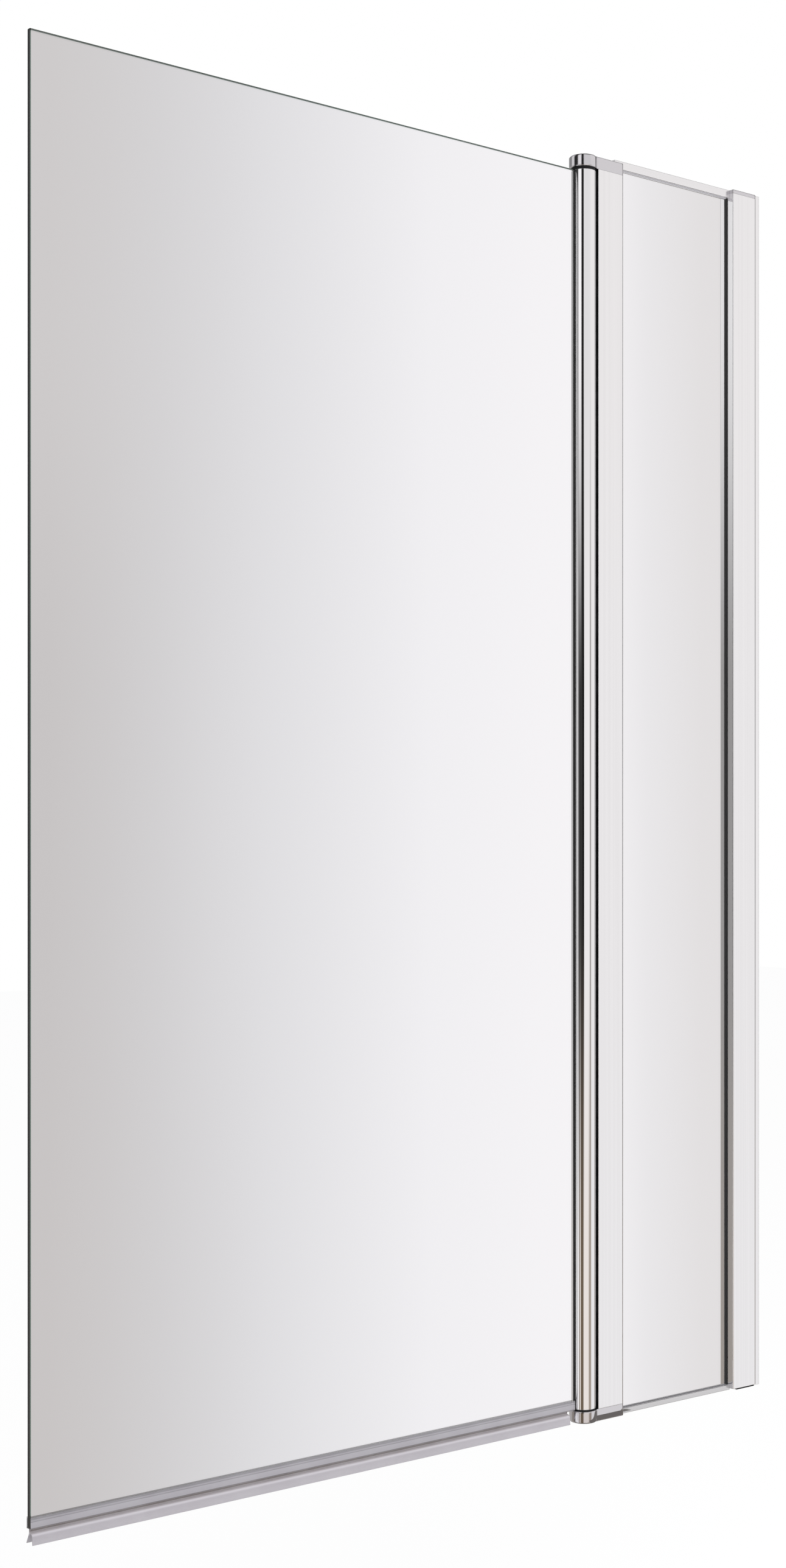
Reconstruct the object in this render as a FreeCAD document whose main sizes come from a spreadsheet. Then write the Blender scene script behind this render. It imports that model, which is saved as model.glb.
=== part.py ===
import FreeCAD, Part

import math
import os

import Sketcher

# Bath screen: a square panel of 6 mm toughened glass that turns on a full-height
# pivot post, beside a narrow fixed panel that is screwed to the wall.
#
# Axes, in millimetres: the wall is the plane X = 0 and the screen stands out from
# it along -X. -Y is the front, +Y the back, and Z = 0 is the rim of the bath. The
# middle of the glass is at Y = 0. Most sections below are symmetrical about Y = 0,
# so a profile is drawn as its front half and mirrored.

doc = FreeCAD.newDocument("bath_screen")

# ---------------------------------------------------------------- driving sizes

SIZES = (
    # the whole screen
    ("frame_height", 1435.0),
    ("fixed_opening", 182.0),          # fixed glass seen between the two stiles
    ("door_reach", 708.2),             # hinge axis to the free edge of the door
    ("glass_thickness", 6.0),
    ("glass_arris", 0.7),              # polished edge, chamfered both sides
    # extruded stiles
    ("stile_depth", 24.0),             # front face to back face
    ("stile_wall", 1.6),
    ("hinge_stile_width", 40.0),
    ("glass_pocket_depth", 9.0),
    ("glass_pocket_width", 11.0),      # twice the glass's middle to the back wall
    ("bead_gap", 0.3),                 # front wall of a glass pocket to the glass
    ("glass_edge_gap", 1.0),           # edge of the glass to the pocket floor
    ("lip_round", 8.0),                # soft round at a stile's wall-side edges
    ("lip_drop", 1.2),
    ("corner_round", 1.0),
    # wall channel and its width adjustment
    ("channel_wall", 1.5),
    ("slide_gap", 0.4),                # stile skirt to channel flange
    ("adjust_in", 5.0),
    ("adjust_out", 15.0),
    ("exposed_min", 2.0),              # channel still seen when pushed right in
    ("channel_end_gap", 0.4),
    ("fixing_hole_radius", 2.75),
    ("fixing_end_distance", 100.0),
    # locking screws through the back of the wall stile
    ("lock_screw_radius", 1.9),
    ("lock_screw_inset", 5.2),
    ("lock_screw_end_distance", 200.0),
    ("lock_head_radius", 3.4),
    ("lock_head_height", 2.2),
    ("lock_nut_width", 7.2),
    ("lock_nut_thickness", 2.5),
    ("lock_nut_gap", 0.1),             # nut to flange until the screw is tightened
    ("lock_hole_clearance", 0.15),
    ("slot_clearance", 0.3),
    ("slot_land", 1.6),                # flange left past the end of a slot
    ("cover_radius", 4.8),
    ("cover_height", 4.0),
    ("cover_wall", 0.9),
    ("cover_bevel", 1.4),
    # end plates of the wall stile
    ("stile_cap_thickness", 4.4),
    ("stile_foot_thickness", 1.5),
    ("stile_foot_inset_left", 6.0),
    ("stile_foot_inset_right", 4.0),
    ("plate_clearance", 0.3),          # plate to the channel flanges it slides on
    ("lug_length", 4.0),
    # rails above and below the fixed glass
    ("rail_width", 12.0),
    ("rail_wall", 1.2),
    ("rail_web", 1.5),
    ("top_rail_height", 9.0),
    ("bottom_rail_height", 5.5),
    ("rail_entry", 8.6),               # length of rail inside the hinge caps
    ("head_packing", 3.5),             # gasket over the glass in the top rail
    ("sill_packing", 1.0),             # gasket under the glass in the bottom rail
    ("gasket_lip", 0.6),
    # pivot post
    ("post_radius", 15.0),
    ("post_wall", 1.6),
    ("post_core_wall", 1.5),
    ("post_rib", 1.4),
    ("post_lip", 1.1),                 # thickness of the two lips at the glass
    ("post_lip_gap", 0.6),             # lip to glass, filled by the gasket's edge
    ("post_pocket_gap", 2.0),          # glass to pocket wall, filled by the gasket
    ("post_pocket_wall", 1.3),
    ("post_floor_wall", 1.8),          # bored core to the floor of the glass pocket
    ("post_glass_gap", 0.3),
    # hinge: cradle, pins, bushes, washers and end caps
    ("running_gap", 0.3),              # post to cradle seal
    ("seal_thickness", 2.1),
    ("horn_land", 0.15),               # flat left at the cradle's two horns
    ("pin_radius", 3.0),
    ("pin_bevel", 0.7),
    ("pin_clearance", 0.05),
    ("pin_in_cap", 10.0),
    ("pin_in_bush", 22.0),
    ("bush_length", 25.0),
    ("bush_wall", 2.0),
    ("bush_clearance", 0.05),
    ("washer_radius", 14.4),
    ("top_washer_thickness", 3.5),
    ("bottom_washer_thickness", 2.2),
    ("washer_clearance", 0.4),
    ("cap_height", 13.5),
    ("cap_drop", 4.5),                 # top of the frame to the top of the cap
    ("boss_radius", 15.7),
    ("boss_chamfer", 1.2),
    ("notch_clearance", 0.2),
    ("spigot_depth", 4.0),
    ("spigot_clearance", 0.2),
    ("port_radius", 3.4),
    ("port_hole_radius", 1.7),
    ("cap_screw_clearance", 0.4),
    ("cap_screw_head_radius", 3.7),
    ("cap_screw_head_height", 2.4),
    ("cap_screw_recess", 6.0),
    ("cap_screw_grip", 14.0),
    # door glass and the seal under it
    ("door_glass_lift", 0.1),          # end of the post to the edge of the glass
    ("seal_skin", 1.0),
    ("seal_clip_height", 9.8),
    ("seal_end_gap", 6.0),             # post to the end of the clip
    ("seal_fin_setback", 5.3),         # the fins stop this much before the clip
    ("seal_tip_height", 0.8),
    ("seal_stem_front", 2.2),
    ("seal_stem_back", -0.4),
    ("seal_shoulder_reach", 6.8),
    ("seal_shoulder_height", 6.9),
    ("seal_shoulder_round", 5.3),
    ("seal_front_reach", 7.6),
    ("seal_back_reach", 4.9),
    ("seal_back_root", 11.1),
    ("seal_back_foot", 1.14),          # width of the back fin where it is cut level
    ("seal_groove_front", 2.4),        # groove between the fins: its front corner
    ("seal_groove_back", 1.28),        # and its back corner, this much to the front
    ("seal_groove_drop", 0.5),
)


class Size:
    """A length that knows its value and the sheet's expression for it, so that
    ordinary arithmetic on sizes also writes the expression that binds them."""

    def __init__(self, text, value):
        self.text = text
        self.value = value

    @staticmethod
    def of(number):
        return number if isinstance(number, Size) else Size(repr(float(number)), float(number))

    def __add__(self, other):
        other = Size.of(other)
        return Size(f"({self.text} + {other.text})", self.value + other.value)

    def __sub__(self, other):
        other = Size.of(other)
        return Size(f"({self.text} - {other.text})", self.value - other.value)

    def __mul__(self, other):
        other = Size.of(other)
        return Size(f"({self.text} * {other.text})", self.value * other.value)

    def __truediv__(self, other):
        other = Size.of(other)
        return Size(f"({self.text} / {other.text})", self.value / other.value)

    def __neg__(self):
        return Size(f"(-1 * {self.text})", -self.value)

    def root(self):
        return Size(f"sqrt({self.text})", math.sqrt(self.value))


class Sheet:
    """The driving sizes, each under its own name."""


def make_sheet():
    """Write the sizes into the document's spreadsheet and return them by name."""
    cells = doc.addObject("Spreadsheet::Sheet", "Sizes")
    named = Sheet()
    for row, (name, value) in enumerate(SIZES, start=1):
        cells.set(f"A{row}", name)
        cells.set(f"B{row}", str(value))
        cells.setAlias(f"B{row}", name)
        setattr(named, name, Size(f"Sizes.{name}", value))
    doc.recompute()
    return named


mm = make_sheet()
ZERO = Size("0", 0.0)
LEFT, RIGHT = 1, -1

# ------------------------------------------------------- sizes that follow from them

half_depth = mm.stile_depth / 2
half_glass = mm.glass_thickness / 2
half_pocket = mm.glass_pocket_width / 2
half_bead = half_glass + mm.bead_gap
skirt_half = half_depth - mm.stile_wall
channel_half = skirt_half - mm.slide_gap
channel_inner = channel_half - mm.channel_wall

# wall channel and wall stile, along X
slot_half = mm.lock_screw_radius + mm.slot_clearance
exposed = mm.adjust_in + mm.exposed_min
lock_screw_x = -(exposed + mm.lock_screw_inset)
slot_right = lock_screw_x + mm.adjust_in + mm.slot_clearance
slot_left = lock_screw_x - mm.adjust_out - mm.slot_clearance
channel_end = slot_left - slot_half - mm.slot_land
stile_right = -exposed
web_right = channel_end - mm.adjust_in - mm.channel_end_gap
pocket_floor = web_right - mm.stile_wall
stile_left = pocket_floor - mm.glass_pocket_depth

# hinge: the hinge stile is measured from the hinge axis
cradle_radius = mm.post_radius + mm.running_gap + mm.seal_thickness
horn_y = half_depth - mm.horn_land
horn_x = (cradle_radius * cradle_radius - horn_y * horn_y).root()
hinge_stile_right = horn_x + mm.hinge_stile_width
hinge_x = stile_left - mm.fixed_opening - hinge_stile_right
hinge_floor = hinge_stile_right - mm.glass_pocket_depth
chamber_left = cradle_radius + mm.stile_wall
chamber_right = hinge_floor - mm.stile_wall
port_x = (chamber_left + chamber_right) / 2
lip_run = (mm.lip_round * mm.lip_drop * 2 - mm.lip_drop * mm.lip_drop).root()

# heights
hinge_top = mm.frame_height - mm.cap_drop - mm.cap_height
rail_start = hinge_x + hinge_stile_right - mm.rail_entry
rail_length = stile_left - rail_start
gasket_length = mm.frame_height - mm.top_rail_height - mm.bottom_rail_height
fixed_glass_bottom = mm.rail_web + mm.sill_packing
fixed_glass_top = mm.frame_height - mm.rail_web - mm.head_packing
post_bottom = mm.cap_height + mm.bottom_washer_thickness
post_top = hinge_top - mm.top_washer_thickness
door_glass_bottom = post_bottom + mm.door_glass_lift
door_glass_height = post_top - mm.door_glass_lift - door_glass_bottom

# pivot post section
bush_radius = mm.pin_radius + mm.pin_clearance + mm.bush_wall
core_bore = bush_radius + mm.bush_clearance
half_mouth = half_glass + mm.post_lip_gap
half_slot = half_glass + mm.post_pocket_gap
slot_floor = core_bore + mm.post_floor_wall
mouth_x = (mm.post_radius * mm.post_radius - half_mouth * half_mouth).root()
lip_back = mouth_x - mm.post_lip

# ---------------------------------------------------------------- ways of building


def bind(thing, name, size):
    """Set a property from the sheet."""
    thing.setExpression(name, size.text)


def new_body(label):
    """An empty body under the name that its sub-part is written out by."""
    body = doc.addObject("PartDesign::Body", label)
    body.Label = label
    return body


def place(body, x=ZERO, y=ZERO, z=ZERO, axis=(1, 0, 0), degrees=0):
    """Put a sub-part in the screen's frame, turned about an axis if need be."""
    turn = FreeCAD.Rotation(FreeCAD.Vector(*axis), degrees)
    body.Placement = FreeCAD.Placement(FreeCAD.Vector(x.value, y.value, z.value), turn)
    bind(body, "Placement.Base.x", x)
    bind(body, "Placement.Base.y", y)
    bind(body, "Placement.Base.z", z)
    return body


def new_sketch(body, plane="XY_Plane", offset=ZERO):
    """A sketch on one of the body's own planes, moved along the plane's normal."""
    sketch = body.newObject("Sketcher::SketchObject", f"{body.Name}_sketch")
    origin_plane = next(item for item in body.Origin.OriginFeatures if item.Role == plane)
    sketch.AttachmentSupport = (origin_plane, [""])
    sketch.MapMode = "FlatFace"
    bind(sketch, "AttachmentOffset.Base.z", offset)
    return sketch


def arc_middle(start, end, radius, turn):
    """The middle point of the arc of under a half circle from start to end."""
    chord = end - start
    across = FreeCAD.Vector(-chord.y, chord.x, 0).normalize() * turn
    reach = math.sqrt(max(radius**2 - chord.Length**2 / 4, 0))
    return (start + end) / 2 + across * (reach - radius)


def pin_down(sketch, geometry, position, x, y):
    """Fix a point of the sketch by its two coordinates."""
    for kind, size in (("DistanceX", x), ("DistanceY", y)):
        number = sketch.addConstraint(
            Sketcher.Constraint(kind, -1, 1, geometry, position, size.value)
        )
        sketch.setExpression(f"Constraints[{number}]", size.text)


def outline(sketch, corners):
    """Draw a closed outline. Each corner is (x, y), or (x, y, radius, turn) where
    an arc of that radius, turning LEFT or RIGHT, leads on to the next corner."""
    corners = [tuple(map(Size.of, corner[:3])) + corner[3:] for corner in corners]
    points = [FreeCAD.Vector(corner[0].value, corner[1].value, 0) for corner in corners]
    count = len(corners)
    ends = []
    for index, corner in enumerate(corners):
        start, end = points[index], points[(index + 1) % count]
        if len(corner) == 2:
            geometry = sketch.addGeometry(Part.LineSegment(start, end), False)
            ends.append((geometry, 1, 2))
            continue
        middle = arc_middle(start, end, corner[2].value, corner[3])
        geometry = sketch.addGeometry(Part.Arc(start, middle, end), False)
        forward = sketch.getPoint(geometry, 1).isEqual(start, 1e-6)
        ends.append((geometry, 1, 2) if forward else (geometry, 2, 1))
        number = sketch.addConstraint(
            Sketcher.Constraint("Radius", geometry, corner[2].value)
        )
        sketch.setExpression(f"Constraints[{number}]", corner[2].text)
    for index, corner in enumerate(corners):
        geometry, first, last = ends[index]
        following, its_first, _ = ends[(index + 1) % count]
        sketch.addConstraint(
            Sketcher.Constraint("Coincident", geometry, last, following, its_first)
        )
        pin_down(sketch, geometry, first, corner[0], corner[1])


def circle(sketch, x, y, radius):
    """Draw a circle."""
    x, y = Size.of(x), Size.of(y)
    centre = FreeCAD.Vector(x.value, y.value, 0)
    geometry = sketch.addGeometry(
        Part.Circle(centre, FreeCAD.Vector(0, 0, 1), radius.value), False
    )
    number = sketch.addConstraint(Sketcher.Constraint("Radius", geometry, radius.value))
    sketch.setExpression(f"Constraints[{number}]", radius.text)
    pin_down(sketch, geometry, 3, x, y)


def box(sketch, left, right, low, high):
    """Draw a rectangle from its four sides."""
    outline(sketch, [(left, low), (right, low), (right, high), (left, high)])


def mirrored(half):
    """Close a section drawn as its front half: the same corners come back behind
    the line y = 0, each arc between the same two corners and turning the same way.
    A last corner that lies on the line is not repeated."""
    arcs = [()] + [corner[2:] for corner in half[:-1]]
    back = [(corner[0], -corner[1]) + arc for corner, arc in zip(half, arcs)]
    front = half[:-1] if half[-1][1] is ZERO else half
    return front + back[::-1]


def pad(body, sketch, length, down=False):
    """Raise the sketch along its plane's normal, or down against it."""
    feature = body.newObject("PartDesign::Pad", f"{body.Name}_pad")
    feature.Profile = sketch
    feature.Reversed = down
    bind(feature, "Length", length)
    return feature


def pocket(body, sketch, length, along=True):
    """Cut along the sketch plane's normal, or against it."""
    feature = body.newObject("PartDesign::Pocket", f"{body.Name}_pocket")
    feature.Profile = sketch
    feature.Reversed = along
    bind(feature, "Length", length)
    return feature


def extrusion(label, corners, bottom, length, holes=()):
    """A vertical extrusion: one outline, with closed cells inside it."""
    body = new_body(label)
    sketch = new_sketch(body, offset=bottom)
    outline(sketch, corners)
    for hole in holes:
        outline(sketch, hole)
    pad(body, sketch, length)
    return body


def turned(label, corners):
    """A turned piece: corners (radius, height), revolved about the Z axis."""
    body = new_body(label)
    sketch = new_sketch(body, "XZ_Plane")
    outline(sketch, corners)
    feature = body.newObject("PartDesign::Revolution", f"{body.Name}_turn")
    feature.Profile = sketch
    feature.ReferenceAxis = (sketch, ["V_Axis"])
    feature.Angle = 360
    return body


def group(label, bodies):
    """Several separate solids that share one name."""
    compound = doc.addObject("Part::Compound", label)
    compound.Label = label
    compound.Links = bodies
    return compound


def chamfer_edges(body, size, wanted):
    """Chamfer the edges of the body's last feature that the test picks."""
    doc.recompute()
    base = body.Tip
    names = [
        f"Edge{number}"
        for number, edge in enumerate(base.Shape.Edges, start=1)
        if wanted(edge)
    ]
    feature = body.newObject("PartDesign::Chamfer", f"{body.Name}_chamfer")
    feature.Base = (base, names)
    bind(feature, "Size", size)
    return feature


def at_hinge_end(body, top):
    """Place a piece drawn from the end of the hinge stile outwards: as drawn at
    the top, and turned over at the bottom."""
    if top:
        return place(body, x=hinge_x, z=hinge_top)
    return place(body, x=hinge_x, z=mm.cap_height, degrees=180)


# ------------------------------------------------------------------- wall channel


def wall_channel():
    """U-section screwed to the wall, open towards the screen. Its back flange has
    level slots, so the screen can be set in or out before it is locked."""
    body = new_body("wall_channel")
    section = new_sketch(body)
    web = -mm.channel_wall
    outline(
        section,
        mirrored(
            [
                (web, -channel_inner),
                (channel_end, -channel_inner),
                (channel_end, -channel_half),
                (ZERO, -channel_half),
            ]
        ),
    )
    pad(body, section, mm.frame_height)
    holes = new_sketch(body, "YZ_Plane")
    pitch = (mm.frame_height - mm.fixing_end_distance * 2) / 3
    for number in range(4):
        circle(holes, 0, mm.fixing_end_distance + pitch * number, mm.fixing_hole_radius)
    pocket(body, holes, mm.channel_wall * 2, along=False)
    slots = new_sketch(body, "XZ_Plane")
    for height in lock_screw_heights():
        low, high = height - slot_half, height + slot_half
        outline(
            slots,
            [
                (slot_left, low),
                (slot_right, low, slot_half, LEFT),
                (slot_right + slot_half, height, slot_half, LEFT),
                (slot_right, high),
                (slot_left, high, slot_half, LEFT),
                (slot_left - slot_half, height, slot_half, LEFT),
            ],
        )
    pocket(body, slots, half_depth, along=False)
    return body


def lock_screw_heights():
    """Near the bottom, at the middle and near the top of the wall stile."""
    low = mm.lock_screw_end_distance
    high = mm.frame_height - mm.lock_screw_end_distance
    return low, (low + high) / 2, high


# --------------------------------------------------------------------- wall stile


def wall_stile():
    """H-section extrusion: a pocket for the fixed glass on the left, and a skirt
    on the right that slides over the wall channel. The pocket's front wall comes
    close up to the glass, which is wedged from the back."""
    half = [
        (pocket_floor, -half_pocket),
        (stile_left, -half_pocket),
        (stile_left, mm.corner_round - half_depth, mm.corner_round, LEFT),
        (stile_left + mm.corner_round, -half_depth),
        (stile_right - lip_run, -half_depth, mm.lip_round, LEFT),
        (stile_right, mm.lip_drop - half_depth),
        (stile_right, -skirt_half),
        (web_right, -skirt_half),
    ]
    shape = mirrored(half)
    shape[:2] = [(pocket_floor, -half_bead), (stile_left, -half_bead)]
    cell_left = stile_left + mm.stile_wall
    cells = [
        [(cell_left, low), (pocket_floor, low), (pocket_floor, high), (cell_left, high)]
        for low, high in (
            (half_pocket + mm.stile_wall, skirt_half),
            (-skirt_half, -(half_bead + mm.stile_wall)),
        )
    ]
    bottom = mm.stile_foot_thickness
    length = mm.frame_height - mm.stile_cap_thickness - bottom
    body = extrusion("wall_stile", shape, bottom, length, cells)
    holes = new_sketch(body, "XZ_Plane")
    for height in lock_screw_heights():
        circle(holes, lock_screw_x, height, mm.lock_screw_radius + mm.lock_hole_clearance)
    pocket(body, holes, mm.stile_depth, along=False)
    return body


def channel_slots(right):
    """The right-hand end of a plate that slides on the wall channel: two slots
    for the flanges, with a tongue between them."""
    outer = channel_half + mm.plate_clearance
    inner = channel_inner - mm.plate_clearance
    return [(right, -outer), (web_right, -outer), (web_right, -inner), (right, -inner)]


def pocket_lug(body, offset, left, down):
    """Lug that fits in the glass pocket of the wall stile, behind the glass."""
    sketch = new_sketch(body, offset=offset)
    near = half_glass + mm.plate_clearance
    far = half_pocket - mm.spigot_clearance
    box(sketch, left, pocket_floor - mm.plate_clearance, near, far)
    pad(body, sketch, mm.lug_length, down)


def wall_stile_cap():
    """Plate that closes the top of the wall stile, flush with the rail."""
    half = [
        (stile_left, mm.corner_round - half_depth, mm.corner_round, LEFT),
        (stile_left + mm.corner_round, -half_depth),
        (stile_right - lip_run, -half_depth, mm.lip_round, LEFT),
        (stile_right, mm.lip_drop - half_depth),
    ] + channel_slots(stile_right)
    bottom = mm.frame_height - mm.stile_cap_thickness
    body = extrusion("wall_stile_cap", mirrored(half), bottom, mm.stile_cap_thickness)
    pocket_lug(body, bottom, stile_left + mm.corner_round, down=True)
    return body


def wall_stile_foot():
    """Dark plastic foot under the wall stile, set in from both edges."""
    left = stile_left + mm.stile_foot_inset_left
    right = stile_right - mm.stile_foot_inset_right
    half = [(left, -half_depth), (right, -half_depth)] + channel_slots(right)
    thickness = mm.stile_foot_thickness
    body = extrusion("wall_stile_foot", mirrored(half), ZERO, thickness)
    pocket_lug(body, thickness, left, down=False)
    return body


def lock_pieces():
    """Screws that lock the width, the nuts they draw up inside the channel, and
    snap-on covers over their heads."""
    head, shank = mm.lock_head_radius, mm.lock_screw_radius
    reach = half_depth - channel_inner + mm.lock_nut_thickness + mm.channel_wall
    top = mm.lock_head_height
    screw = [
        (0, -reach),
        (shank, -reach),
        (shank, 0),
        (head, 0),
        (head, top / 2),
        (head - top / 2, top),
        (0, top),
    ]
    outer, skin, bevel = mm.cover_radius, mm.cover_wall, mm.cover_bevel
    crown = mm.cover_height
    inner_bevel = bevel - skin / 2
    cover = [
        (outer - skin, 0),
        (outer, 0),
        (outer, crown - bevel),
        (outer - bevel, crown),
        (0, crown),
        (0, crown - skin),
        (outer - skin - inner_bevel, crown - skin),
        (outer - skin, crown - skin - inner_bevel),
    ]
    screws, nuts, covers = [], [], []
    for number, height in enumerate(lock_screw_heights(), start=1):
        piece = turned(f"lock_screw_{number}", screw)
        screws.append(place(piece, lock_screw_x, half_depth, height, degrees=-90))
        piece = turned(f"screw_cover_{number}", cover)
        covers.append(place(piece, lock_screw_x, half_depth, height, degrees=-90))
        piece = lock_nut(f"lock_nut_{number}")
        seat = channel_inner - mm.lock_nut_gap
        nuts.append(place(piece, lock_screw_x, seat, height, degrees=90))
    return [
        group("lock_screws", screws),
        group("lock_nuts", nuts),
        group("screw_covers", covers),
    ]


def lock_nut(label):
    """Square nut, drawn from its clamping face."""
    body = new_body(label)
    sketch = new_sketch(body)
    side = mm.lock_nut_width / 2
    box(sketch, -side, side, -side, side)
    circle(sketch, 0, 0, mm.lock_screw_radius)
    pad(body, sketch, mm.lock_nut_thickness)
    return body


# -------------------------------------------------------------------- hinge stile


def hinge_stile():
    """Extrusion that carries the hinge: a round cradle for the post on the left,
    a glass pocket on the right, and a screw port on a rib between them."""
    body = new_body("hinge_stile")
    half = [
        (horn_x, -horn_y),
        (horn_x, -half_depth),
        (hinge_stile_right - lip_run, -half_depth, mm.lip_round, LEFT),
        (hinge_stile_right, mm.lip_drop - half_depth),
        (hinge_stile_right, -half_pocket),
        (hinge_floor, -half_pocket),
    ]
    shape = mirrored(half)
    shape[4:6] = [(hinge_stile_right, -half_bead), (hinge_floor, -half_bead)]
    shape[-1] = shape[-1] + (cradle_radius, RIGHT)
    section = new_sketch(body)
    outline(section, shape)
    mouth = hinge_stile_right - mm.stile_wall
    bead_low = -(half_bead + mm.stile_wall)
    cell_low = half_pocket + mm.stile_wall
    outline(
        section,
        [
            (chamber_left, -skirt_half),
            (mouth, -skirt_half),
            (mouth, bead_low),
            (chamber_right, bead_low),
            (chamber_right, cell_low),
            (mouth, cell_low),
            (mouth, skirt_half),
            (chamber_left, skirt_half),
        ],
    )
    length = hinge_top - mm.cap_height
    pad(body, section, length)
    rib = new_sketch(body)
    box(rib, port_x - mm.stile_wall / 2, port_x + mm.stile_wall / 2, -skirt_half, skirt_half)
    pad(body, rib, length)
    port = new_sketch(body)
    circle(port, port_x, 0, mm.port_radius)
    pad(body, port, length)
    hole = new_sketch(body)
    circle(hole, port_x, 0, mm.port_hole_radius)
    pocket(body, hole, length)
    return place(body, x=hinge_x, z=mm.cap_height)


def cradle_seal():
    """Dark strip that lines the cradle, a running gap away from the post."""
    inner = mm.post_radius + mm.running_gap
    inner_y = (inner * inner - horn_x * horn_x).root()
    corners = [
        (horn_x, -horn_y, cradle_radius, LEFT),
        (horn_x, horn_y),
        (horn_x, inner_y, inner, RIGHT),
        (horn_x, -inner_y),
    ]
    body = extrusion("cradle_seal", corners, ZERO, hinge_top - mm.cap_height)
    return place(body, x=hinge_x, z=mm.cap_height)


# ---------------------------------------------------------------- hinge end pieces


def hinge_cap(label, top):
    """Cast cap: a round boss over the post and a flat tab over the hinge stile,
    notched for the rail and glass, with spigots that locate in the chamber."""
    body = new_body(label)
    boss = new_sketch(body)
    circle(boss, 0, 0, mm.boss_radius)
    pad(body, boss, mm.cap_height)
    height = mm.cap_height.value
    chamfer_edges(
        body,
        mm.boss_chamfer,
        lambda edge: min(vertex.Point.z for vertex in edge.Vertexes) > height - 0.01,
    )
    notch = mm.rail_width / 2 + mm.notch_clearance
    tab = new_sketch(body)
    outline(
        tab,
        mirrored(
            [
                (ZERO, -half_depth),
                (hinge_stile_right - lip_run, -half_depth, mm.lip_round, LEFT),
                (hinge_stile_right, mm.lip_drop - half_depth),
                (hinge_stile_right, -notch),
                (hinge_floor, -notch),
            ]
        ),
    )
    pad(body, tab, mm.cap_height)
    gap = mm.spigot_clearance
    rib = mm.stile_wall / 2 + gap
    port_side = mm.port_radius + gap
    spigots = new_sketch(body)
    box(spigots, chamber_left + gap, port_x - rib, port_side, skirt_half - gap)
    box(spigots, chamber_left + gap, port_x - rib, gap - skirt_half, -port_side)
    pad(body, spigots, mm.spigot_depth, down=True)
    pin_hole = new_sketch(body)
    circle(pin_hole, 0, 0, mm.pin_radius)
    pocket(body, pin_hole, mm.pin_in_cap)
    screw_hole = new_sketch(body)
    circle(screw_hole, port_x, 0, mm.port_hole_radius + mm.cap_screw_clearance)
    pocket(body, screw_hole, mm.cap_height)
    recess = new_sketch(body, offset=mm.cap_height - mm.cap_screw_recess)
    circle(recess, port_x, 0, mm.cap_screw_head_radius + mm.cap_screw_clearance)
    pocket(body, recess, mm.cap_screw_recess)
    return at_hinge_end(body, top)


def washer_thickness(top):
    """The washer that carries the door is the thinner one, at the bottom."""
    return mm.top_washer_thickness if top else mm.bottom_washer_thickness


def pivot_pin(label, top):
    """Steel pin pressed into the cap and standing out into the bush."""
    end, tip = mm.pin_in_cap, -(washer_thickness(top) + mm.pin_in_bush)
    radius, bevel = mm.pin_radius, mm.pin_bevel
    corners = [
        (0, tip),
        (radius - bevel, tip),
        (radius, tip + bevel),
        (radius, end),
        (0, end),
    ]
    return at_hinge_end(turned(label, corners), top)


def thrust_washer(label, top):
    """Dark washer between the cap and the end of the post."""
    bore, low = mm.pin_radius + mm.washer_clearance, -washer_thickness(top)
    corners = [(bore, low), (mm.washer_radius, low), (mm.washer_radius, 0), (bore, 0)]
    return at_hinge_end(turned(label, corners), top)


def pivot_bush(label, top):
    """Plastic bush pushed into the core of the post; the pin turns in it."""
    bore = mm.pin_radius + mm.pin_clearance
    high = -washer_thickness(top)
    low = high - mm.bush_length
    corners = [(bore, low), (bush_radius, low), (bush_radius, high), (bore, high)]
    return at_hinge_end(turned(label, corners), top)


def cap_screw(label, top):
    """Pan-head screw from the recess in the cap into the port of the stile."""
    seat = mm.cap_height - mm.cap_screw_recess
    head, shank = mm.cap_screw_head_radius, mm.port_hole_radius
    crown = seat + mm.cap_screw_head_height
    bevel = mm.cap_screw_head_height / 2
    corners = [
        (0, -mm.cap_screw_grip),
        (shank, -mm.cap_screw_grip),
        (shank, seat),
        (head, seat),
        (head, crown - bevel),
        (head - bevel, crown),
        (0, crown),
    ]
    body = turned(label, corners)
    if top:
        return place(body, x=hinge_x + port_x, z=hinge_top)
    return place(body, x=hinge_x + port_x, z=mm.cap_height, degrees=180)


# --------------------------------------------------------------------- fixed panel


def rail(label, low, high, opens_down):
    """Slim U-section rail along the top or bottom edge of the fixed glass."""
    body = new_body(label)
    half_rail = mm.rail_width / 2
    inner = half_rail - mm.rail_wall
    mouth, back = (low, high) if opens_down else (high, low)
    web = back - mm.rail_web if opens_down else back + mm.rail_web
    section = new_sketch(body, "YZ_Plane")
    outline(
        section,
        [
            (-half_rail, back),
            (half_rail, back),
            (half_rail, mouth),
            (inner, mouth),
            (inner, web),
            (-inner, web),
            (-inner, mouth),
            (-half_rail, mouth),
        ],
    )
    pad(body, section, rail_length)
    return place(body, x=rail_start)


def rail_gasket(label, web, glass_edge, mouth):
    """U-section gasket between a rail and the edge of the glass."""
    body = new_body(label)
    outer = mm.rail_width / 2 - mm.rail_wall
    section = new_sketch(body, "YZ_Plane")
    outline(
        section,
        [
            (-outer, web),
            (outer, web),
            (outer, mouth),
            (half_glass, mouth),
            (half_glass, glass_edge),
            (-half_glass, glass_edge),
            (-half_glass, mouth),
            (-outer, mouth),
        ],
    )
    pad(body, section, rail_length)
    return place(body, x=rail_start)


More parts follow.
